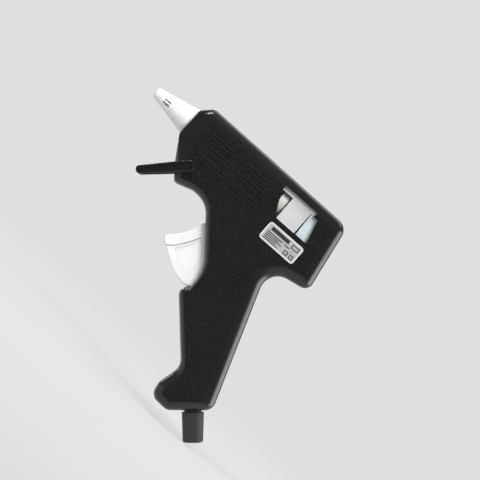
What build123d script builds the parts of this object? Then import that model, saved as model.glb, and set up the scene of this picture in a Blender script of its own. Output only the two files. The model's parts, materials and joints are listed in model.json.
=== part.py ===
from build123d import *
import math
import os

os.makedirs("parts", exist_ok=True)

# A mini hot-melt glue gun for 7 mm sticks, in millimetres. X runs along the barrel, nozzle towards -X;
# Y is the thickness, the housing halves meeting at y = 0; Z is up. The origin is the centre of the
# stick inlet's rear face, on the barrel axis.

# Housing
HALF_WIDTH = 13.0
SIDE_WALL = 2.0
RIM_WALL = 3.0
RIM_DROP = 5.5
RIM_STEPS = 5
SEAM_GAP = 0.05
GROOVE_DEPTH = 0.3
NOSE_LENGTH = 20.0
NOSE_NARROWING = 0.47
NOSE_CREASE_X = -90.2
NOSE_CREASE_LEAN = Vector(0.217, 0, -1)
NOSE_CREASE_ROUND = 14.0
REACH = 150.0

# Barrel line
STICK_BORE_R = 3.8
CHAMBER_R = 6.5
CHAMBER_BORE_R = 3.9
SLEEVE_R = 7.6
GUARD_BASE_R = 7.45
GUARD_TIP_R = 2.75
GUARD_TIP_X = -119.9

# Feed
TRIGGER_PIVOT = (-51.0, -30.0)
TRIGGER_PULL = 18.0
TRIGGER_ARM = 17.5
TRIGGER_HALF = 7.0
CARRIER_HALF = 10.3
PAWL_PIVOT = (-16.0, 6.3)

# Side details
VENT_LENGTH = 15.5
VENT_HEIGHT = 2.7
VENT_LINE = 0.7
VENT_RISE = 0.35
VENT_START = (-75.75, 1.7)
VENT_STEP_X = 22.0
VENT_STEP_Z = 5.9
VENT_LEAN = 1.5
LABEL_BOX = (-33.1, -11.1, -20.7, -10.7)
LABEL_DEPTH = 0.25

# Inner parts
CHAMBER_RIBS = [(-90.0, -88.4), (-56.2, -54.8)]
HEATER_X = (-83.0, -65.0)
GUARD_FLANGE_R = 8.5
SLOT_FLOOR = 3.0
PIN_R = 1.5
PAWL_PIN_R = 1.0
PEG_R = 2.0
SCREW_SEAT = 10.4
SCREW_DEPTH = 9.5
BOOT_NECK_R = 4.4
BOOT_FLANGE_R = 5.6
BOOT_LENGTH = 16.6
CORD_BORE_R = 2.6
SPRING_X = (-39.3, -26.6)
SPRING_R = 2.2
SPRING_WIRE_R = 0.3
SPRING_TURNS = 8

# Stand
STAND_PIVOT = (-82.5, -17.6)
STAND_TIP = (-99.7, -34.8)
STAND_LEG = 2.0
STAND_GAP = 0.3

# Fasteners: axis positions in X and Z, all along Y
SCREWS = [(-74.0, -17.6), (-5.6, -19.6), (-20.0, -53.0), (-14.5, -107.5)]
SCREW_R = 1.4

# Cord exit: a point on the grip's base and the direction out of it
CORD_EXIT = Vector(0.1, 0, -108.5)
CORD_DIRECTION = Vector(0.66, 0, -0.751).normalized()

# Each corner of an outline is (x, z, rounding radius). The housing's corners add the width of the
# soft rim along the side that starts there.
HOUSING_OUTLINE = [
    (-97.0, 7.5, 3.0, 4.5),
    (-91.5, 13.0, 6.0, 7.0),
    (-2.2, 12.2, 6.8, 6.5),
    (4.2, -25.2, 4.6, 6.5),
    (-18.6, -29.6, 9.3, 7.5),
    (7.6, -101.9, 6.0, 5.0),
    (-9.9, -117.0, 5.0, 5.0),
    (-20.9, -116.6, 5.4, 4.5),
    (-22.0, -109.4, 6.0, 4.0),
    (-18.6, -96.2, 9.0, 2.6),
    (-46.4, -66.3, 4.4, 1.8),
    (-41.9, -62.6, 0.6, 1.8),
    (-41.9, -52.4, 20.0, 2.6),
    (-63.8, -25.5, 13.0, 3.4),
    (-73.2, -25.3, 6.0, 3.6),
    (-82.8, -28.5, 2.5, 4.0),
    (-89.0, -20.6, 15.0, 4.2),
    (-97.0, -8.0, 3.0, 4.0),
]
WINDOW_OUTLINE = [
    (-39.2, 7.3, 0.4),
    (-18.2, 7.3, 0.4),
    (-18.2, 4.7, 0.3),
    (-15.8, 4.7, 0.5),
    (-12.6, -8.0, 0.5),
    (-32.9, -8.0, 0.5),
    (-37.6, 0.6, 8.0),
    (-37.3, 4.9, 0.3),
    (-39.2, 4.9, 0.4),
]
TRIGGER_SLOT = [
    (-60.5, -31.2, 0.3),
    (-57.0, -27.8, 0.3),
    (-37.0, -51.5, 0.3),
    (-37.0, -65.0, 0.3),
    (-47.5, -65.0, 0.3),
    (-72.0, -50.0, 0.3),
]
TRIGGER_OUTLINE = [
    (-57.4, -32.6, 1.0),
    (-52.0, -29.0, 1.0),
    (-47.4, -34.0, 1.0),
    (-38.9, -51.2, 16.0),
    (-39.2, -61.9, 2.0),
    (-46.0, -64.0, 6.0),
    (-54.6, -61.9, 12.0),
    (-67.3, -53.9, 1.4),
    (-69.0, -51.7, 1.4),
    (-61.6, -43.6, 20.0),
]
TRIGGER_GROOVE = [
    (-65.4, -55.6, 0.2),
    (-61.2, -52.4, 0.5),
    (-57.1, -46.8, 4.0),
    (-53.8, -40.6, 0.2),
    (-54.4, -40.4, 0.2),
    (-57.7, -46.4, 4.0),
    (-61.7, -51.9, 0.5),
    (-65.9, -55.0, 0.2),
]
TRIGGER_PANEL = [
    (-60.6, -53.0, 0.6),
    (-56.3, -47.2, 4.0),
    (-53.4, -41.2, 1.0),
    (-50.6, -42.4, 1.0),
    (-47.6, -48.0, 6.0),
    (-46.2, -54.0, 1.0),
    (-46.6, -59.4, 1.0),
    (-53.8, -57.8, 2.0),
]


def along_x(x, y=0.0, z=0.0):
    return Plane(origin=(x, y, z), x_dir=(0, 1, 0), z_dir=(1, 0, 0))


def along_y(x, y, z):
    return Plane(origin=(x, y, z), x_dir=(1, 0, 0), z_dir=(0, 1, 0))


def barrel_rod(x_from, x_to, radius, y=0.0, z=0.0):
    return Solid.make_cylinder(radius, x_to - x_from, along_x(x_from, y, z))


def cross_rod(x, z, y_from, y_to, radius):
    return Solid.make_cylinder(radius, y_to - y_from, along_y(x, y_from, z))


def block(x_from, x_to, y_from, y_to, z_from, z_to):
    middle = Pos((x_from + x_to) / 2, (y_from + y_to) / 2, (z_from + z_to) / 2)
    return middle * Box(x_to - x_from, y_to - y_from, z_to - z_from)


def outline_face(corners):
    """A face in the XZ plane whose corners are rounded by tangent arcs."""
    return Face(outline_wire(corners))


def outline_wire(corners):
    arcs = []
    for k, (x, z, radius, *_) in enumerate(corners):
        corner = Vector(x, 0, z)
        before_x, before_z = corners[k - 1][:2]
        after_x, after_z = corners[(k + 1) % len(corners)][:2]
        before = (Vector(before_x, 0, before_z) - corner).normalized()
        after = (Vector(after_x, 0, after_z) - corner).normalized()
        half = math.radians(before.get_angle(after)) / 2
        reach = radius / math.tan(half)
        inward = (before + after).normalized()
        middle = corner + inward * (radius / math.sin(half) - radius)
        arcs.append((corner + before * reach, middle, corner + after * reach))
    edges = []
    for k, (start, middle, end) in enumerate(arcs):
        edges.append(Edge.make_three_point_arc(start, middle, end))
        next_start = arcs[(k + 1) % len(arcs)][0]
        if (next_start - end).length > 0.001:
            edges.append(Edge.make_line(end, next_start))
    return Wire(edges)


def prism(corners, y_from, y_to):
    face = Pos(0, y_from, 0) * outline_face(corners)
    return extrude(face, y_to - y_from, dir=(0, 1, 0))


def inset(corners, depths):
    """The same corners with each side moved inwards by its own depth."""
    moved = []
    for k, (x, z, radius, *rest) in enumerate(corners):
        before_x, before_z = corners[k - 1][:2]
        after_x, after_z = corners[(k + 1) % len(corners)][:2]
        first = (Vector(x - before_x, 0, z - before_z)).normalized()
        second = (Vector(after_x - x, 0, after_z - z)).normalized()
        turn = first.X * second.Z - first.Z * second.X
        before, after = depths[k - 1], depths[k]
        shift = (first * after - second * before) * (1 / turn)
        mean = (before + after) / 2
        rounding = radius - mean if turn < 0 else radius + mean
        moved.append((x + shift.X, z + shift.Z, max(rounding, 0.4), *rest))
    return moved


def evenly_inset(corners, depth):
    return inset(corners, [depth] * len(corners))


def nose_limit(half_width):
    """A tall prism as wide as the housing, its front a wedge that narrows the nose from a leaning,
    rounded crease."""
    front_x = NOSE_CREASE_X - NOSE_LENGTH
    front_half = half_width - NOSE_LENGTH * NOSE_NARROWING
    plan = make_face(Polyline(
        (front_x, -front_half),
        (NOSE_CREASE_X, -half_width),
        (REACH, -half_width),
        (REACH, half_width),
        (NOSE_CREASE_X, half_width),
        (front_x, front_half),
        close=True,
    ))
    creases = [corner for corner in plan.vertices() if abs(corner.X - NOSE_CREASE_X) < 0.1]
    plan = fillet(creases, NOSE_CREASE_ROUND)
    above = NOSE_CREASE_LEAN * -REACH
    return Solid.extrude((Pos(above.X, 0, above.Z) * plan).face(), NOSE_CREASE_LEAN * 2 * REACH)


def housing_outside(depth=0.0):
    """The outer shape, or the same set inwards by a depth. Each side face falls away to the rim
    along a quarter ellipse, as wide as the outline says."""
    outline = evenly_inset(HOUSING_OUTLINE, depth)
    half = HALF_WIDTH - depth
    sections = []
    for step in range(RIM_STEPS + 1):
        angle = math.radians(90 * step / RIM_STEPS)
        depths = [band * (1 - math.cos(angle)) for *_, band in outline]
        y = half - RIM_DROP + RIM_DROP * math.sin(angle)
        sections.append(Pos(0, y, 0) * outline_wire(inset(outline, depths)))
    right = Solid.make_loft(sections)
    middle = prism(outline, RIM_DROP - half, half - RIM_DROP)
    return (middle + right + mirror(right, Plane.XZ)) & nose_limit(half)


def housing_cavity():
    inner = HALF_WIDTH - SIDE_WALL
    space = prism(evenly_inset(HOUSING_OUTLINE, RIM_WALL), -inner, inner)
    return space & nose_limit(inner)


def vent_outline(x, z):
    """A raised pill-shaped line on the housing's side, drawn round its middle."""
    plane = Plane(origin=(x, 0, z), x_dir=(1, 0, 0), z_dir=(0, -1, 0))
    outer = plane * SlotOverall(VENT_LENGTH, VENT_HEIGHT)
    inner = plane * SlotOverall(VENT_LENGTH - 2 * VENT_LINE, VENT_HEIGHT - 2 * VENT_LINE)
    return outer - inner


def vent_ridges(side):
    """Six pill outlines, two columns of three, standing proud of one side."""
    ridges = []
    for column in range(2):
        for row in range(3):
            x = VENT_START[0] + column * VENT_STEP_X + row * VENT_LEAN
            z = VENT_START[1] - row * VENT_STEP_Z
            ring = Pos(0, side * (HALF_WIDTH - 0.2), 0) * vent_outline(x, z)
            ridges.append(extrude(ring, 0.2 + VENT_RISE, dir=(0, side, 0)))
    return ridges


def supports():
    """Ribs, rails and bosses that stand across the whole cavity and are split with it."""
    inner = HALF_WIDTH - SIDE_WALL
    space = housing_cavity()
    parts = []
    for x_from, x_to in CHAMBER_RIBS:
        rib = space & block(x_from, x_to, -inner, inner, -8.4, 12)
        parts.append(rib - barrel_rod(x_from - 1, x_to + 1, CHAMBER_R + 0.15))
    collar = barrel_rod(-9, 0, 5.6) - barrel_rod(-10, 1, STICK_BORE_R)
    parts.append(collar & prism(HOUSING_OUTLINE, -8, 8))
    for side in (-1, 1):
        near, far = sorted((side * 8.6, side * (inner + 0.5)))
        parts.append(block(-34, -11.5, near, far, -10.2, -8.7))
        parts.append(block(-46, -11.5, near, far, 8.2, 9.4))
    stop = space & block(-41, -39.4, -inner, inner, -19, -11.9)
    parts.append(stop + barrel_rod(-39.6, -36.9, 1.2, z=-14.5))
    x, z = TRIGGER_PIVOT
    for side in (-1, 1):
        near, far = sorted((side * (TRIGGER_HALF + 0.4), side * (inner + 0.5)))
        boss = cross_rod(x, z, near, far, 3.2) - cross_rod(x, z, near, far, PIN_R + 0.02)
        parts.append(boss)
    for x, z in SCREWS:
        parts.append(cross_rod(x, z, -inner - 0.5, inner + 0.5, 4.0))
    return parts


def openings():
    """Everything cut through the housing."""
    inner = HALF_WIDTH - SIDE_WALL
    cuts = [
        barrel_rod(-100, -92, GUARD_BASE_R + 0.15),
        barrel_rod(-94.0, -90, GUARD_FLANGE_R + 0.15),
        barrel_rod(-12, 6, STICK_BORE_R),
        barrel_rod(0, 6, 5.6),
        prism(TRIGGER_SLOT, -TRIGGER_HALF - 0.4, TRIGGER_HALF + 0.4),
        prism(WINDOW_OUTLINE, -HALF_WIDTH - 1, -inner + 0.5),
        seam_groove(),
        rim_groove(),
    ]
    hole = Plane(origin=CORD_EXIT - CORD_DIRECTION * 6, z_dir=CORD_DIRECTION)
    cuts.append(Solid.make_cylinder(BOOT_NECK_R + 0.15, 12, hole))
    seat = Plane(origin=CORD_EXIT - CORD_DIRECTION * 8.2, z_dir=CORD_DIRECTION)
    cuts.append(Solid.make_cylinder(BOOT_FLANGE_R + 0.2, 5.0, seat))
    x, z = STAND_PIVOT
    cuts.append(cross_rod(x, z, -HALF_WIDTH - 1, HALF_WIDTH + 1, PEG_R + 0.06))
    x_from, x_to, z_from, z_to = LABEL_BOX
    floor = -HALF_WIDTH + LABEL_DEPTH
    pocket = block(x_from - 0.3, x_to + 0.3, -HALF_WIDTH - 1, floor, z_from - 0.3, z_to + 0.3)
    cuts.append(fillet(pocket.edges().filter_by(Axis.Y), 1.7))
    for x, z in SCREWS:
        cuts.append(cross_rod(x, z, -SCREW_DEPTH, 1, SCREW_R + 0.05))
        cuts.append(cross_rod(x, z, 0, HALF_WIDTH + 1, SCREW_R + 0.25))
        cuts.append(cross_rod(x, z, SCREW_SEAT, HALF_WIDTH + 1, 3.0))
    return cuts


def seam_groove():
    """A shallow line round the outline where the two halves meet."""
    outer, inner = evenly_inset(HOUSING_OUTLINE, -0.5), evenly_inset(HOUSING_OUTLINE, GROOVE_DEPTH)
    return prism(outer, -0.25, 0.25) - prism(inner, -0.25, 0.25)


def rim_groove():
    """A shallow line round the nose that sets off its front rim."""
    slab = block(-94.9, -94.4, -20, 20, -30, 20)
    return slab - housing_outside(GROOVE_DEPTH)


def housing_halves():
    shell = housing_outside() - housing_cavity()
    for side in (-1, 1):
        shell += vent_ridges(side)
    for support in supports():
        shell += support
    for opening in openings():
        shell -= opening
    left = shell & block(-REACH, REACH, -REACH, -SEAM_GAP, -REACH, REACH)
    right = shell & block(-REACH, REACH, SEAM_GAP, REACH, -REACH, REACH)
    return left, right


def revolved(points):
    """A solid turned about the barrel axis from (x, radius) points."""
    profile = make_face(Polyline(*[(x, 0, r) for x, r in points], close=True))
    return revolve(profile, Axis.X)


def nozzle_guard():
    """The white silicone cone over the nozzle, with a flange held inside the nose."""
    shape = revolved([
        (-92.3, 5.2),
        (-92.3, GUARD_FLANGE_R),
        (-93.8, GUARD_FLANGE_R),
        (-93.8, GUARD_BASE_R),
        (-97.4, GUARD_BASE_R),
        (GUARD_TIP_X, GUARD_TIP_R),
        (GUARD_TIP_X, 1.2),
        (GUARD_TIP_X + 1.5, 1.9),
        (-103.2, 5.2),
    ])
    tip = shape.edges().filter_by(GeomType.CIRCLE).group_by(Axis.X)[0]
    shape = fillet(max(tip, key=lambda edge: edge.radius), 1.0)
    for z, height in ((0.3, 0.6), (-1.5, 1.1)):
        shape -= block(-113.9, -109.9, -12, 12, z - height / 2, z + height / 2) - core_block()
    return shape


def core_block():
    """Keeps the guard's slots to its outer skin."""
    return block(-120, -100, -SLOT_FLOOR, SLOT_FLOOR, -10, 10)


def nozzle_tip():
    """The brass nozzle screwed on the chamber's nose."""
    return revolved([
        (-93.2, 3.55),
        (-93.2, 4.9),
        (-103.4, 4.9),
        (-118.6, 1.5),
        (-118.6, 0.6),
        (-116.0, 0.6),
        (-104.0, 2.0),
        (-98.6, 2.0),
        (-98.6, 3.55),
    ])


def melt_chamber():
    """The cast aluminium chamber, with a slot under it for the heater."""
    body = barrel_rod(-92.1, -52, CHAMBER_R)
    body += barrel_rod(-98.3, -92.1, 3.5)
    body += barrel_rod(-52.2, -44, 5.6)
    for x_from, x_to in ((-91.9, -90.2), (-58.0, -56.4)):
        body += barrel_rod(x_from, x_to, 8.2)
    body += block(HEATER_X[0] - 1, HEATER_X[1] + 1, -7.2, 7.2, -12.4, -3)
    body -= block(HEATER_X[0] - 2, HEATER_X[1] + 2, -5, 5, -10.2, -6.7)
    body -= barrel_rod(-91, -43, CHAMBER_BORE_R)
    body -= barrel_rod(-99, -90, 2.0)
    return body


def ptc_heater():
    return block(*HEATER_X, -4, 4, -9.5, -7.4)


def heater_electrodes():
    """Two contact plates above and below the heater, with tabs for the leads."""
    plates = []
    for z, side in ((-7.37, 1), (-9.93, -1)):
        plate = block(HEATER_X[0], HEATER_X[1] + 0.5, -4.1, 4.1, z, z + 0.4)
        tab = block(HEATER_X[1] + 0.4, HEATER_X[1] + 5, side * 2.2 - 1.4, side * 2.2 + 1.4, z, z + 0.4)
        plates.append(plate + tab)
    return Compound(plates)


def heater_film():
    """A flat sleeve of insulating film round the heater and its plates."""
    outer = block(HEATER_X[0] - 1.5, HEATER_X[1] + 1.5, -4.9, 4.9, -10.15, -6.75)
    return outer - block(HEATER_X[0] - 2, HEATER_X[1] + 2, -4.7, 4.7, -10.0, -6.9)


def heater_clamp():
    """A spring-steel band round the chamber and its heater block."""
    def section(x_from, x_to, gap):
        low = block(x_from, x_to, -7.2 - gap, 7.2 + gap, -12.4 - gap, -2.5)
        return barrel_rod(x_from, x_to, 7.3 + gap) + low

    return section(-77, -71, 0.6) - section(-78, -70, 0.1)


def inlet_sleeve():
    """The silicone sleeve that leads the stick into the chamber."""
    body = barrel_rod(-51.8, -32.9, SLEEVE_R)
    body -= barrel_rod(-52, -43.8, 5.7)
    body -= barrel_rod(-44, -32, 3.9)
    body -= barrel_rod(-49.6, -47.4, SLEEVE_R + 1) - barrel_rod(-50, -47, SLEEVE_R - 0.6)
    return fillet(body.edges().filter_by(GeomType.CIRCLE).group_by(Axis.X)[-1], 0.5)


def sleeve_clip():
    """A wire ring sprung into the sleeve's groove."""
    ring = Solid.make_torus(SLEEVE_R - 0.05, 0.5, along_x(-48.5))
    return ring - block(-50, -47, -1.5, 1.5, 4, 10)


def feed_carrier():
    """The sliding frame that carries the gripping pawl, driven by the trigger's arm."""
    half = CARRIER_HALF
    body = block(-32.4, -20.5, -half, half, -8.0, 7.7)
    body += block(-32.4, -20.5, -half - 0.25, half + 0.25, -8.3, -7.3)
    body -= barrel_rod(-33, -25, SLEEVE_R + 0.5)
    body -= barrel_rod(-33, -20, 4.1)
    for side in (-1, 1):
        near, far = sorted((side * 8.5, side * (half + 0.25)))
        body += block(-42, -13.6, near, far, 5.0, 7.7)
    body += block(-24.5, -21, -2.5, 2.5, -11.4, -7.5)
    body += block(-51.9, -21, -2.5, 2.5, -11.4, -8.7)
    body += block(-52.0, -44.5, -2.5, 2.5, -14.5, -11.2)
    body -= block(-50.25, -46.27, -3, 3, -16, -10.4)
    body += block(-26.5, -24.6, -2.5, 2.5, -17, -11.2)
    body += barrel_rod(-29, -26.4, 1.2, z=-14.5)
    x, z = PAWL_PIVOT
    body -= cross_rod(x, z, -12, 12, PAWL_PIN_R + 0.02)
    return body


def grip_pawl():
    """The wedge-shaped block that tilts and bites the stick."""
    body = prism(
        [(-20.15, 4.7, 0.3), (-15.0, 4.7, 0.6), (-12.0, -7.9, 0.6), (-19.55, -7.9, 0.4)],
        -CARRIER_HALF + 0.3,
        CARRIER_HALF - 0.3,
    )
    body += prism(
        [(-18.2, 8.3, 1.4), (-13.8, 8.3, 1.4), (-13.8, 3.5, 0.4), (-18.2, 3.5, 0.4)], -7.9, 7.9
    )
    body -= barrel_rod(-20, -11, 4.2)
    x, z = PAWL_PIVOT
    return body - cross_rod(x, z, -12, 12, PAWL_PIN_R + 0.06)


def pawl_pin():
    x, z = PAWL_PIVOT
    return cross_rod(x, z, -CARRIER_HALF, CARRIER_HALF, PAWL_PIN_R)


def trigger():
    """The finger trigger with its hidden arm up to the carrier's fork."""
    body = prism(TRIGGER_OUTLINE, -TRIGGER_HALF, TRIGGER_HALF)
    sides = [face for face in body.faces() if abs(face.normal_at().Y) > 0.9]
    body = fillet([edge for face in sides for edge in face.edges()], 0.9)
    for side in (-1, 1):
        start = side * (TRIGGER_HALF + 0.5)
        groove = prism(TRIGGER_GROOVE, *sorted((start, side * (TRIGGER_HALF - 0.5))))
        panel = prism(TRIGGER_PANEL, *sorted((start, side * (TRIGGER_HALF - 0.3))))
        body -= [groove, panel]
    x, z = TRIGGER_PIVOT
    body += cross_rod(x, z, -TRIGGER_HALF, TRIGGER_HALF, 3.0)
    tilt = math.radians(TRIGGER_PULL / 2)
    tip_x = x + TRIGGER_ARM * math.sin(tilt)
    tip_z = z + TRIGGER_ARM * math.cos(tilt)
    side_x = math.cos(tilt)
    side_z = -math.sin(tilt)
    arm = [
        (x - 2.6 * side_x, z - 2.6 * side_z, 0.3),
        (x + 2.6 * side_x, z + 2.6 * side_z, 0.3),
        (tip_x + 0.9 * side_x, tip_z + 0.9 * side_z, 0.3),
        (tip_x - 0.9 * side_x, tip_z - 0.9 * side_z, 0.3),
    ]
    body += prism(arm, -2.2, 2.2)
    body += cross_rod(tip_x, tip_z, -2.2, 2.2, 1.6)
    return body - cross_rod(x, z, -12, 12, PIN_R + 0.06)


def trigger_pin():
    x, z = TRIGGER_PIVOT
    return cross_rod(x, z, -10.6, 10.6, PIN_R)


def return_spring():
    """A compression spring between the housing's rib and the carrier's lug."""
    length = SPRING_X[1] - SPRING_X[0]
    helix = Edge.make_helix((length - 1) / SPRING_TURNS, length - 1, SPRING_R)
    start = Plane(origin=helix @ 0, z_dir=helix % 0)
    coil = sweep(start * Circle(SPRING_WIRE_R), path=helix, is_frenet=True)
    seat = along_x(SPRING_X[0] + 0.5, z=-14.5)
    return seat * coil


def stand_outline(pivot_half, tip_half, reach):
    """A tapered strip with round ends, from the stand's pivot towards its foot."""
    pivot = Vector(STAND_PIVOT[0], 0, STAND_PIVOT[1])
    along = (Vector(STAND_TIP[0], 0, STAND_TIP[1]) - pivot).normalized()
    across = Vector(-along.Z, 0, along.X)
    start = pivot - along * pivot_half
    end = pivot + along * (reach + tip_half)
    corners = []
    for point, half in ((start, pivot_half), (start, -pivot_half), (end, -tip_half), (end, tip_half)):
        spot = point + across * half
        corners.append((spot.X, spot.Z, abs(half) * 0.9))
    return corners


def stand():
    """A U-shaped folding rest: two tapered legs, a foot bar and a pivot peg in each leg."""
    px, pz = STAND_PIVOT
    tx, tz = STAND_TIP
    near = HALF_WIDTH + STAND_GAP
    far = near + STAND_LEG
    reach = math.hypot(tx - px, tz - pz)
    body = cross_rod(tx, tz, -near - 0.5, near + 0.5, 1.7)
    for side in (-1, 1):
        leg = prism(stand_outline(3.2, 2.0, reach), *sorted((side * near, side * far)))
        outer = leg.faces().sort_by(Axis.Y)[-1 if side > 0 else 0]
        leg = fillet(outer.edges(), 0.4)
        floor = side * (far - 0.5)
        leg -= prism(stand_outline(2.3, 1.1, reach * 0.86), *sorted((floor, side * (far + 1))))
        peg = sorted((side * (near + 0.1), side * (HALF_WIDTH - SIDE_WALL - 0.3)))
        body += [leg, cross_rod(px, pz, *peg, PEG_R)]
    return body


def housing_screws():
    """Pan-head screws driven from the right side."""
    screws = []
    for x, z in SCREWS:
        shank = cross_rod(x, z, -SCREW_DEPTH + 0.5, SCREW_SEAT + 0.2, SCREW_R)
        head = cross_rod(x, z, SCREW_SEAT + 0.02, SCREW_SEAT + 1.7, 2.7)
        head = fillet(head.edges().group_by(Axis.Y)[-1], 0.7)
        top = SCREW_SEAT + 1.7
        cross = block(x - 1.5, x + 1.5, top - 1, top + 1, z - 0.3, z + 0.3)
        cross += block(x - 0.3, x + 0.3, top - 1, top + 1, z - 1.5, z + 1.5)
        screws.append(shank + head - cross)
    return Compound(screws)


def cord_boot():
    """The rubber bend relief where the cord leaves the grip's base, open for the cord."""
    base = Plane(origin=CORD_EXIT, z_dir=CORD_DIRECTION)
    profile = make_face(Polyline(
        (0, CORD_BORE_R, -8.0),
        (0, BOOT_FLANGE_R, -8.0),
        (0, BOOT_FLANGE_R, -5.8),
        (0, BOOT_NECK_R, -5.8),
        (0, BOOT_NECK_R, 1.2),
        (0, 5.6, 1.2),
        (0, 5.2, BOOT_LENGTH),
        (0, CORD_BORE_R, BOOT_LENGTH),
        close=True,
    ))
    boot = revolve(profile, Axis.Z)
    end = boot.edges().filter_by(GeomType.CIRCLE).group_by(Axis.Z)[-1]
    return base * fillet(max(end, key=lambda edge: edge.radius), 1.2)


def lead_wires():
    """The heater's two insulated leads, from the plate tabs down to the splices in the grip."""
    wires = []
    for side, z in ((1, -7.2), (-1, -9.8)):
        path = Edge.make_spline([
            Vector(HEATER_X[1] + 6, side * 2.2, z - 0.2),
            Vector(-57.8, side * 5.5, -12),
            Vector(-50, side * 9.2, -21),
            Vector(-36, side * 9.2, -42),
            Vector(-24, side * 6.5, -66),
            Vector(-14.5, side * 3.5, -86),
        ])
        section = Plane(origin=path @ 0, z_dir=path % 0) * Circle(0.8)
        wires.append(sweep(section, path=path))
    return Compound(wires)


def wire_splices():
    """Closed crimp caps that join the leads to the cord's conductors."""
    caps = []
    for side in (-1, 1):
        seat = Plane(origin=(-14.1, side * 3.5, -86.8), z_dir=(0.45, 0, -0.9))
        cap = Solid.make_cylinder(1.9, 8, seat)
        caps.append(fillet(cap.edges().filter_by(GeomType.CIRCLE).group_by(Axis.Z)[0], 0.8))
    return Compound(caps)


def rating_label():
    x_from, x_to, z_from, z_to = LABEL_BOX
    floor = -HALF_WIDTH + LABEL_DEPTH
    plate = block(x_from, x_to, floor - 0.22, floor - 0.02, z_from, z_to)
    return fillet(plate.edges().filter_by(Axis.Y), 1.5)


left_half, right_half = housing_halves()
export_step(left_half, "parts/housing_left.step")
export_step(right_half, "parts/housing_right.step")
for make in (
    nozzle_guard,
    nozzle_tip,
    melt_chamber,
    ptc_heater,
    heater_electrodes,
    heater_film,
    heater_clamp,
    inlet_sleeve,
    sleeve_clip,
    feed_carrier,
    grip_pawl,
    pawl_pin,
    trigger,
    trigger_pin,
    return_spring,
    stand,
    housing_screws,
    cord_boot,
    lead_wires,
    wire_splices,
    rating_label,
):
    export_step(make(), f"parts/{make.__name__}.step")
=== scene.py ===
import json
import math

import bmesh
import bpy
from mathutils import Matrix, Vector


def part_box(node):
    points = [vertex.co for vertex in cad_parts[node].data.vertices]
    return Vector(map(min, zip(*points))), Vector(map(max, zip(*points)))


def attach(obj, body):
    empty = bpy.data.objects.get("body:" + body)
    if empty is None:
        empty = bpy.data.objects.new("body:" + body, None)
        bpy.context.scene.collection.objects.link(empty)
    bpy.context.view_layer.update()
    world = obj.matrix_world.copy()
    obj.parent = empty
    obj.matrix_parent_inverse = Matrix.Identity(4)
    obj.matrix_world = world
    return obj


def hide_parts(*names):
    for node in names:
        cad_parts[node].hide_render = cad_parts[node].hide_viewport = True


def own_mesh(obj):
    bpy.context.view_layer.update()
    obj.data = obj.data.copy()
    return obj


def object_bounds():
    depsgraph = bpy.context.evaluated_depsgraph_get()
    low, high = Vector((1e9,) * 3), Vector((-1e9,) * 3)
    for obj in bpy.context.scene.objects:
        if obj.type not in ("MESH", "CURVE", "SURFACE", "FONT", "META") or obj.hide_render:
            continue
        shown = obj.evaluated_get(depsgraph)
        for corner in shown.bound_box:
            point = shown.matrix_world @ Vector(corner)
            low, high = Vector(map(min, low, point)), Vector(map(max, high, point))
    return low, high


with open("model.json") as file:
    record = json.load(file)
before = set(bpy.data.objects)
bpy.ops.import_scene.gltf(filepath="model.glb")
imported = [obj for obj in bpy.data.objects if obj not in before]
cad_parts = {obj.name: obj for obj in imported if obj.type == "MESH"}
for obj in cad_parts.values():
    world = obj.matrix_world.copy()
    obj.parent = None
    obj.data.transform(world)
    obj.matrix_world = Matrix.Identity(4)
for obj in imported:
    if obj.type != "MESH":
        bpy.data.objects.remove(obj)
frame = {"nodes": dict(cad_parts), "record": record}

CAD_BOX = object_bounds()
MM = 0.001
BACKDROP = (0.74, 0.74, 0.74)

# Label print: how far it stands off the label, and a box's line as a share of the label's height
PRINT_RISE = 0.01 * MM
BOX_LINE = 0.05

# Return spring: the closing says how much closer the end turns lie than the others
SPRING_WIRE_R = 0.3 * MM
SPRING_TURNS = 9
SPRING_STEPS = 360
SPRING_WIRE_SIDES = 12
SPRING_END_CLOSING = 0.66

# Floor
FLOOR_RADIUS = 0.6
FLOOR_SIDES = 96
FLOOR_GAP = 0.2 * MM

# Camera: the width it sees where the object's near side lies, and how far it is rolled
LENS = 200
SENSOR_WIDTH = 36
WIDTH_SEEN = 0.240
CAMERA_ROLL = math.radians(41.3)


# ---------------------------------------------------------------- shader helpers


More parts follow.
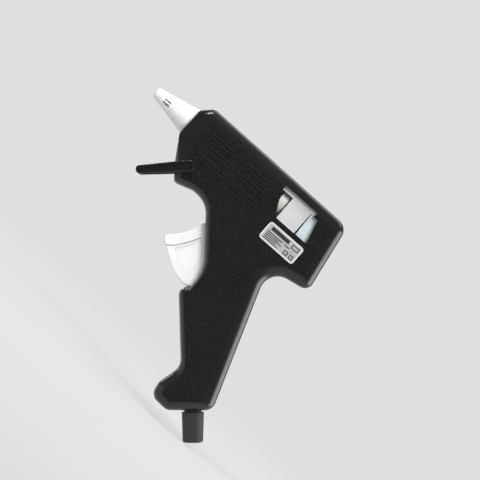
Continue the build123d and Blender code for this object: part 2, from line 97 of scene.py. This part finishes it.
class Shader:
    """A material's node tree with short calls for the nodes used here."""

    def __init__(self, name):
        self.material = bpy.data.materials.new(name)
        self.material.use_nodes = True
        self.tree = self.material.node_tree
        self.bsdf = self.tree.nodes["Principled BSDF"]
        self.coords = self.tree.nodes.new("ShaderNodeTexCoord").outputs["Object"]

    def plug(self, value, socket):
        """Links a node's output to a socket, or sets the socket to a constant."""
        if isinstance(value, bpy.types.NodeSocket):
            self.tree.links.new(value, socket)
        else:
            socket.default_value = value

    def set(self, **sockets):
        """Plugs values into the main shader, by socket name with _ for each space."""
        for name, value in sockets.items():
            self.plug(value, self.bsdf.inputs[name.replace("_", " ")])
        return self

    def noise(self, scale, detail=3.0, roughness=0.55, stretch=(1, 1, 1)):
        spread = self.tree.nodes.new("ShaderNodeMapping")
        spread.inputs["Scale"].default_value = stretch
        self.plug(self.coords, spread.inputs["Vector"])
        node = self.tree.nodes.new("ShaderNodeTexNoise")
        node.inputs["Scale"].default_value = scale
        node.inputs["Detail"].default_value = detail
        node.inputs["Roughness"].default_value = roughness
        self.plug(spread.outputs["Vector"], node.inputs["Vector"])
        return node.outputs["Fac"]

    def cells(self, scale):
        node = self.tree.nodes.new("ShaderNodeTexVoronoi")
        node.inputs["Scale"].default_value = scale
        self.plug(self.coords, node.inputs["Vector"])
        return node.outputs["Distance"]

    def math(self, operation, a, b=0.0, c=0.0):
        node = self.tree.nodes.new("ShaderNodeMath")
        node.operation = operation
        for value, socket in zip((a, b, c), node.inputs):
            self.plug(value, socket)
        return node.outputs["Value"]

    def remap(self, value, low, high, to_low, to_high):
        node = self.tree.nodes.new("ShaderNodeMapRange")
        for name, number in (
            ("From Min", low), ("From Max", high), ("To Min", to_low), ("To Max", to_high),
        ):
            self.plug(number, node.inputs[name])
        self.plug(value, node.inputs["Value"])
        return node.outputs["Result"]

    def mix(self, factor, a, b):
        node = self.tree.nodes.new("ShaderNodeMix")
        node.data_type = "RGBA"
        self.plug(factor, node.inputs["Factor"])
        for value, name in ((a, "A"), (b, "B")):
            socket = next(s for s in node.inputs if s.name == name and s.type == "RGBA")
            self.plug((*value, 1.0) if isinstance(value, tuple) else value, socket)
        return next(s for s in node.outputs if s.type == "RGBA")

    def axis(self, output, index):
        """One component of a vector."""
        node = self.tree.nodes.new("ShaderNodeSeparateXYZ")
        self.plug(output, node.inputs["Vector"])
        return node.outputs[index]

    def normal(self):
        return self.tree.nodes.new("ShaderNodeNewGeometry").outputs["True Normal"]

    def rounded_normal(self, radius):
        """The surface normal, turned near an edge as if the edge were rounded."""
        bevel = self.tree.nodes.new("ShaderNodeBevel")
        bevel.samples = 6
        bevel.inputs["Radius"].default_value = radius
        return bevel.outputs["Normal"]

    def edges(self, radius):
        """Near 1 along sharp edges and 0 on flat faces."""
        geometry = self.tree.nodes.new("ShaderNodeNewGeometry")
        dot = self.tree.nodes.new("ShaderNodeVectorMath")
        dot.operation = "DOT_PRODUCT"
        self.plug(self.rounded_normal(radius), dot.inputs[0])
        self.plug(geometry.outputs["Normal"], dot.inputs[1])
        return self.remap(dot.outputs["Value"], 0.995, 0.85, 0.0, 1.0)

    def crevices(self, reach):
        """Near 1 down in grooves and corners narrower than the reach, and 0 on open faces."""
        node = self.tree.nodes.new("ShaderNodeAmbientOcclusion")
        node.samples = 8
        node.only_local = True
        node.inputs["Distance"].default_value = reach
        return self.remap(node.outputs["AO"], 0.45, 0.85, 1.0, 0.0)

    def bump(self, height, distance, strength, round_edge=None):
        """A bumpy normal, on edges that look rounded if a radius is given."""
        node = self.tree.nodes.new("ShaderNodeBump")
        node.inputs["Distance"].default_value = distance
        self.plug(strength, node.inputs["Strength"])
        self.plug(height, node.inputs["Height"])
        if round_edge:
            self.plug(self.rounded_normal(round_edge), node.inputs["Normal"])
        return node.outputs["Normal"]


# ---------------------------------------------------------------- materials


def black_shell():
    """Moulded black plastic: a fine spark texture on the flat sides, smooth and glossier on the
    rounded rim and the nose, with pale specks and worn edges."""
    s = Shader("black_shell")
    across = s.math("ABSOLUTE", s.axis(s.normal(), 1))
    side = s.remap(across, 0.975, 0.998, 0.0, 1.0)
    grain = s.noise(1500, 2.0, 0.6)
    fine = s.noise(2100, 3.0, 0.65)
    pits = s.cells(1900)
    cloud = s.noise(45, 4.0)
    height = s.math("ADD", s.math("MULTIPLY", grain, 0.7), s.math("MULTIPLY", pits, 0.5))
    strength = s.remap(side, 0.0, 1.0, 0.02, 0.9)
    normal = s.bump(height, 0.18 * MM, strength, round_edge=0.25 * MM)
    speck = s.remap(fine, 0.5, 0.68, 0.0, 1.0)
    speck = s.math("MULTIPLY", speck, s.math("MULTIPLY", side, 0.75))
    worn = s.math("MULTIPLY", s.edges(0.5 * MM), 0.3)
    tone = s.mix(cloud, (0.0035, 0.0035, 0.004), (0.0075, 0.0075, 0.008))
    tone = s.mix(speck, tone, (0.034, 0.034, 0.038))
    tone = s.mix(worn, tone, (0.04, 0.04, 0.042))
    textured = s.remap(grain, 0.3, 0.7, 0.42, 0.62)
    smooth = s.remap(cloud, 0.3, 0.7, 0.2, 0.28)
    rough = s.math("MULTIPLY_ADD", s.math("SUBTRACT", textured, smooth), side, smooth)
    gleam = s.remap(side, 0.0, 1.0, 0.6, 0.16)
    return s.set(Base_Color=tone, Roughness=rough, Normal=normal, Specular_IOR_Level=gleam).material


def moulded(
    name, dark, light, rough, grain=900, depth=0.04 * MM, coat=0.0, edge=None, soft=0.0, painted_crease_shade=None
):
    """A moulded polymer with a cloudy tone, fine grain and uneven gloss, and if their tones are
    given, edges worn paler and painted shade that darkens its grooves and corners."""
    s = Shader(name)
    cloud = s.noise(60, 4.0)
    texture = s.noise(grain, 3.0)
    tone = s.mix(s.remap(cloud, 0.3, 0.7, 0.0, 1.0), dark, light)
    if edge:
        tone = s.mix(s.math("MULTIPLY", s.edges(0.4 * MM), 0.5), tone, edge)
    # Painted shade: grooves and corners are darkened by ambient occlusion, standing in for shadow.
    if painted_crease_shade:
        tone = s.mix(s.math("MULTIPLY", s.crevices(1.2 * MM), 0.75), tone, painted_crease_shade)
    gloss = s.remap(s.noise(220, 3.0), 0.3, 0.7, rough[0], rough[1])
    normal = s.bump(texture, depth, 0.6, round_edge=0.2 * MM)
    return s.set(
        Base_Color=tone, Roughness=gloss, Normal=normal, Coat_Weight=coat, Subsurface_Weight=soft,
        Subsurface_Radius=(0.004, 0.0035, 0.003), Subsurface_Scale=0.5,
    ).material


def metal(name, dark, light, rough, brushed=(1, 1, 1), grain=700):
    """Bare metal with drawn or cast grain and darker, duller patches."""
    s = Shader(name)
    lines = s.noise(grain, 4.0, 0.6, brushed)
    stain = s.noise(90, 4.0)
    tone = s.mix(s.remap(stain, 0.35, 0.7, 0.0, 1.0), light, dark)
    gloss = s.remap(lines, 0.25, 0.75, rough[0], rough[1])
    normal = s.bump(lines, 0.04 * MM, 0.5, round_edge=0.15 * MM)
    return s.set(Base_Color=tone, Roughness=gloss, Normal=normal, Metallic=1.0).material


def inside(s, axis, low, high):
    """How far a surface point lies inside the nearer of two limits on one axis."""
    middle = (low[axis] + high[axis]) / 2
    half = (high[axis] - low[axis]) / 2
    off_middle = s.math("ABSOLUTE", s.math("SUBTRACT", s.axis(s.coords, axis), middle))
    return s.math("SUBTRACT", half, off_middle)


def label_foil():
    """Silver label stock with a white border left round the printed field."""
    s = Shader("label")
    low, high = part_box("rating_label")
    margin = s.math("MINIMUM", inside(s, 0, low, high), inside(s, 2, low, high))
    border = s.remap(margin, 0.6 * MM, 0.8 * MM, 1.0, 0.0)
    foil = s.noise(1400, 3.0, 0.6, (0.3, 1, 1))
    tone = s.mix(s.remap(foil, 0.3, 0.7, 0.0, 1.0), (0.42, 0.43, 0.43), (0.54, 0.55, 0.55))
    tone = s.mix(border, tone, (0.82, 0.82, 0.82))
    gloss = s.remap(foil, 0.3, 0.7, 0.32, 0.5)
    normal = s.bump(s.noise(400, 2.0), 0.03 * MM, 0.4)
    return s.set(Base_Color=tone, Roughness=gloss, Normal=normal, Metallic=0.25).material


def floor_finish():
    """A pale matt surface, mostly as bright as the backdrop, that fades out away from the object."""
    s = Shader("floor")
    x = s.axis(s.coords, 0)
    y = s.axis(s.coords, 1)
    reach = s.math("SQRT", s.math("ADD", s.math("MULTIPLY", x, x), s.math("MULTIPLY", y, y)))
    seen = s.remap(reach, 0.2 * FLOOR_RADIUS, 0.95 * FLOOR_RADIUS, 1.0, 0.0)
    tone = s.mix(s.noise(30, 3.0), (0.13, 0.13, 0.13), (0.15, 0.15, 0.15))
    glow = tuple(0.78 * level for level in BACKDROP)
    behind = s.tree.nodes.new("ShaderNodeNewGeometry").outputs["Backfacing"]
    seen = s.math("MULTIPLY", seen, s.math("SUBTRACT", 1.0, behind))
    return s.set(
        Base_Color=tone, Roughness=0.8, Alpha=seen, Specular_IOR_Level=0.0,
        Emission_Color=(*glow, 1.0), Emission_Strength=1.0,
    ).material


FINISHES = {
    "black_shell": black_shell(),
    "white_silicone": moulded(
        "white_silicone", (0.84, 0.83, 0.82), (0.9, 0.9, 0.89), (0.3, 0.45), soft=0.15,
        # The last tone is painted shade for the grooves and corners.
        edge=(0.94, 0.94, 0.94), painted_crease_shade=(0.35, 0.34, 0.33),
    ),
    "brass": metal("brass", (0.42, 0.27, 0.1), (0.72, 0.52, 0.24), (0.22, 0.45), (8, 1, 1)),
    "cast_aluminium": metal("cast_aluminium", (0.4, 0.4, 0.41), (0.66, 0.66, 0.67), (0.4, 0.62)),
    "heater_ceramic": moulded("heater_ceramic", (0.16, 0.16, 0.15), (0.24, 0.23, 0.22), (0.6, 0.8)),
    "plate_metal": metal("plate_metal", (0.5, 0.5, 0.51), (0.75, 0.75, 0.76), (0.25, 0.4), (1, 9, 1)),
    "film": moulded("film", (0.3, 0.13, 0.02), (0.42, 0.2, 0.03), (0.15, 0.3), coat=0.4),
    "spring_steel": metal("spring_steel", (0.36, 0.36, 0.38), (0.62, 0.62, 0.64), (0.2, 0.4)),
    "cream_silicone": moulded(
        "cream_silicone", (0.91, 0.88, 0.79), (0.96, 0.94, 0.88), (0.4, 0.55), soft=0.2,
    ),
    "white_plastic": moulded(
        "white_plastic", (0.84, 0.84, 0.845), (0.90, 0.90, 0.90), (0.1, 0.2), grain=500,
        # The last tone is painted shade for the grooves and corners.
        depth=0.02 * MM, coat=0.4, edge=(0.95, 0.95, 0.95), soft=0.05, painted_crease_shade=(0.3, 0.3, 0.31),
    ),
    "grey_white_plastic": moulded(
        "grey_white_plastic", (0.58, 0.59, 0.59), (0.68, 0.69, 0.69), (0.3, 0.45),
        edge=(0.85, 0.85, 0.85),
    ),
    "pale_plastic": moulded(
        "pale_plastic", (0.62, 0.72, 0.75), (0.72, 0.80, 0.83), (0.15, 0.28), coat=0.3, soft=0.3,
        edge=(0.85, 0.9, 0.92),
    ),
    "steel": metal("steel", (0.34, 0.34, 0.36), (0.6, 0.6, 0.62), (0.22, 0.4)),
    "black_rubber": moulded(
        "black_rubber", (0.018, 0.018, 0.02), (0.03, 0.03, 0.033), (0.5, 0.68), grain=1300,
        depth=0.08 * MM, edge=(0.07, 0.07, 0.075),
    ),
    "wire_insulation": moulded(
        "wire_insulation", (0.55, 0.53, 0.48), (0.72, 0.7, 0.64), (0.5, 0.7), grain=2500,
        depth=0.1 * MM,
    ),
    "crimp": moulded("crimp", (0.62, 0.62, 0.58), (0.74, 0.74, 0.7), (0.25, 0.4)),
    "label": label_foil(),
}


def dress_nodes():
    """Gives every CAD node the finish of its material slot."""
    wanted = {row["node"]: row["material_slot"] for row in frame["record"]["subparts"]}
    for name, obj in frame["nodes"].items():
        for spot in obj.material_slots:
            spot.link = "OBJECT"
            spot.material = FINISHES[wanted[name]]


# ---------------------------------------------------------------- meshes


def mesh_of(shape, name):
    """Writes an edit mesh out under this name and frees it."""
    mesh = bpy.data.meshes.new(name)
    shape.to_mesh(mesh)
    shape.free()
    return mesh


def placed(name, data):
    """A new object with this data, linked to the scene."""
    piece = bpy.data.objects.new(name, data)
    bpy.context.collection.objects.link(piece)
    return piece


# ---------------------------------------------------------------- label print


def print_bars(low, high):
    """Plain bars and boxes in the label's own measure: shares of its width and height."""
    width = high[0] - low[0]
    height = high[2] - low[2]
    heading = (0.12, 0.64, 0.66, 0.86)
    lines = [(0.08, 0.52, 0.50, 0.555), (0.08, 0.46, 0.405, 0.455), (0.08, 0.55, 0.31, 0.36),
             (0.08, 0.42, 0.215, 0.265), (0.08, 0.5, 0.12, 0.17), (0.58, 0.72, 0.50, 0.555)]
    boxes = [(0.66, 0.78, 0.13, 0.36), (0.83, 0.93, 0.13, 0.36), (0.73, 0.93, 0.60, 0.84)]
    shapes = [heading, *lines]
    thick = BOX_LINE * height / width
    for left, right, bottom, top in boxes:
        shapes += [
            (left, right, top - BOX_LINE, top),
            (left, right, bottom, bottom + BOX_LINE),
            (left, left + thick, bottom, top),
            (right - thick, right, bottom, top),
        ]
    return [
        (low[0] + a * width, low[0] + b * width, low[2] + c * height, low[2] + d * height)
        for a, b, c, d in shapes
    ]


def label_print():
    """The print, as thin closed pads that stand half out of the label's face."""
    low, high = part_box("rating_label")
    shape = bmesh.new()
    for x_from, x_to, z_from, z_to in print_bars(low, high):
        corners = [(x_from, z_from), (x_to, z_from), (x_to, z_to), (x_from, z_to)]
        near = [shape.verts.new((x, low[1] - PRINT_RISE, z)) for x, z in corners]
        far = [shape.verts.new((x, low[1] + PRINT_RISE, z)) for x, z in corners]
        shape.faces.new(near)
        shape.faces.new(far[::-1])
        for k in range(4):
            shape.faces.new((near[k - 1], far[k - 1], far[k], near[k]))
    bmesh.ops.recalc_face_normals(shape, faces=shape.faces)
    piece = placed("label_print", mesh_of(shape, "label_print"))
    ink = moulded("print_ink", (0.02, 0.02, 0.022), (0.035, 0.035, 0.037), (0.4, 0.55), grain=2500)
    piece.data.materials.append(ink)
    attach(piece, "housing")


# ---------------------------------------------------------------- return spring


def coil_path(low, high, radius):
    """Points along a coil on the X axis, its first and last turns wound closer together."""
    middle_z = (low[2] + high[2]) / 2
    points = []
    for k in range(SPRING_STEPS + 1):
        share = k / SPRING_STEPS
        whole = 2 * math.pi * share
        eased = share - SPRING_END_CLOSING * math.sin(whole) / (2 * math.pi)
        points.append(Vector((
            low[0] + (high[0] - low[0]) * eased,
            radius * math.cos(whole * SPRING_TURNS),
            middle_z + radius * math.sin(whole * SPRING_TURNS),
        )))
    return points


def wire_ring(shape, path, k):
    """The wire's round section at one point of the path, square to the way it runs."""
    ahead = path[min(k + 1, len(path) - 1)] - path[max(k - 1, 0)]
    ahead.normalize()
    across = ahead.cross(Vector((1, 0, 0))).normalized()
    rise = ahead.cross(across)
    ring = []
    for side in range(SPRING_WIRE_SIDES):
        angle = 2 * math.pi * side / SPRING_WIRE_SIDES
        offset = SPRING_WIRE_R * (math.cos(angle) * across + math.sin(angle) * rise)
        ring.append(shape.verts.new(path[k] + offset))
    return ring


def wire_along(path):
    """A closed round wire along the path, smooth but for its cut ends."""
    shape = bmesh.new()
    rings = [wire_ring(shape, path, k) for k in range(len(path))]
    for before, after in zip(rings, rings[1:]):
        for side in range(SPRING_WIRE_SIDES):
            shape.faces.new((before[side - 1], before[side], after[side], after[side - 1]))
    shape.faces.new(rings[0])
    shape.faces.new(rings[-1])
    bmesh.ops.recalc_face_normals(shape, faces=shape.faces)
    for face in shape.faces:
        face.smooth = len(face.verts) == 4
    return shape


def return_spring():
    """A wound steel wire, the spring that the carrier squeezes as it slides forwards; here it keeps
    one length and goes with the housing.
    """
    low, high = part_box("return_spring")
    radius = (high[1] - low[1]) / 2 - SPRING_WIRE_R
    end = Vector((SPRING_WIRE_R, 0, 0))
    wire = wire_along(coil_path(low + end, high - end, radius))
    piece = placed("wound_spring", mesh_of(wire, "wound_spring"))
    piece.data.materials.append(FINISHES["spring_steel"])
    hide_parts("return_spring")
    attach(piece, "housing")
    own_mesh(piece)


# ---------------------------------------------------------------- stage, light, camera


def stage(low, high):
    """A round floor just under the object."""
    shape = bmesh.new()
    bmesh.ops.create_circle(shape, cap_ends=True, radius=FLOOR_RADIUS, segments=FLOOR_SIDES)
    floor = placed("floor", mesh_of(shape, "floor"))
    floor.location = ((low[0] + high[0]) / 2, 0, low[2] - FLOOR_GAP)
    floor.data.materials.append(floor_finish())


def area_light(name, place, target, size, power):
    """A flat lamp that faces the target."""
    data = bpy.data.lights.new(name, "AREA")
    data.shape = "RECTANGLE"
    data.size, data.size_y = size
    data.energy = power
    lamp = placed(name, data)
    lamp.location = place
    lamp.rotation_euler = (Vector(target) - Vector(place)).to_track_quat("-Z", "Y").to_euler()
    return lamp


def lights(middle):
    """A key near the camera that isn't mirrored, two lamps in front that glint on the nose and the
    pill outlines, and soft lights beside, above and behind."""
    x, y, z = middle
    key = area_light("key", (x + 0.25, y - 0.85, z + 0.6), middle, (0.4, 0.4), 8)
    key.visible_glossy = False
    area_light("nose", (x - 0.42, y - 0.3, z + 0.85), middle, (0.2, 0.45), 6)
    glint = area_light("glint", (x - 0.7, y - 0.42, z + 0.45), middle, (0.12, 0.3), 3.5)
    glint.visible_diffuse = False
    area_light("rear", (x + 0.9, y + 0.05, z + 0.1), middle, (0.8, 0.9), 9)
    area_light("top", (x + 0.15, y + 0.3, z + 0.85), middle, (0.9, 0.4), 2.5)
    area_light("back", (x - 0.2, y + 0.8, z + 0.3), middle, (0.8, 0.6), 3)


def surroundings():
    """An even pale glow on the object, and the backdrop's own tone where the camera sees past it."""
    world = bpy.data.worlds.new("studio")
    bpy.context.scene.world = world
    world.use_nodes = True
    tree = world.node_tree
    glow = tree.nodes["Background"]
    glow.inputs["Color"].default_value = (0.9, 0.9, 0.9, 1)
    glow.inputs["Strength"].default_value = 0.28
    seen = tree.nodes.new("ShaderNodeBackground")
    seen.inputs["Color"].default_value = (*BACKDROP, 1)
    rays = tree.nodes.new("ShaderNodeLightPath")
    choose = tree.nodes.new("ShaderNodeMixShader")
    tree.links.new(rays.outputs["Is Camera Ray"], choose.inputs["Fac"])
    tree.links.new(glow.outputs["Background"], choose.inputs[1])
    tree.links.new(seen.outputs["Background"], choose.inputs[2])
    tree.links.new(choose.outputs["Shader"], tree.nodes["World Output"].inputs["Surface"])
    bpy.context.scene.view_settings.view_transform = "Standard"


def camera(low, high):
    """Square on to the left side, rolled so that the barrel climbs to the upper left."""
    data = bpy.data.cameras.new("camera")
    data.lens = LENS
    data.sensor_width = SENSOR_WIDTH
    reach = WIDTH_SEEN * LENS / SENSOR_WIDTH
    right = Vector((math.cos(CAMERA_ROLL), 0, math.sin(CAMERA_ROLL)))
    up = Vector((-math.sin(CAMERA_ROLL), 0, math.cos(CAMERA_ROLL)))
    back = Vector((0, -1, 0))
    # The picture's middle lies a little below and in front of the web of the grip.
    aim = Vector((low[0] + 0.0813, low[1], high[2] - 0.0413))
    place = aim + back * reach
    turn = Matrix((right, up, back)).transposed().to_4x4()
    body = placed("camera", data)
    body.matrix_world = Matrix.Translation(place) @ turn
    bpy.context.scene.camera = body


dress_nodes()
label_print()
return_spring()
LOW, HIGH = CAD_BOX
stage(LOW, HIGH)
lights(tuple((a + b) / 2 for a, b in zip(LOW, HIGH)))
surroundings()
camera(LOW, HIGH)
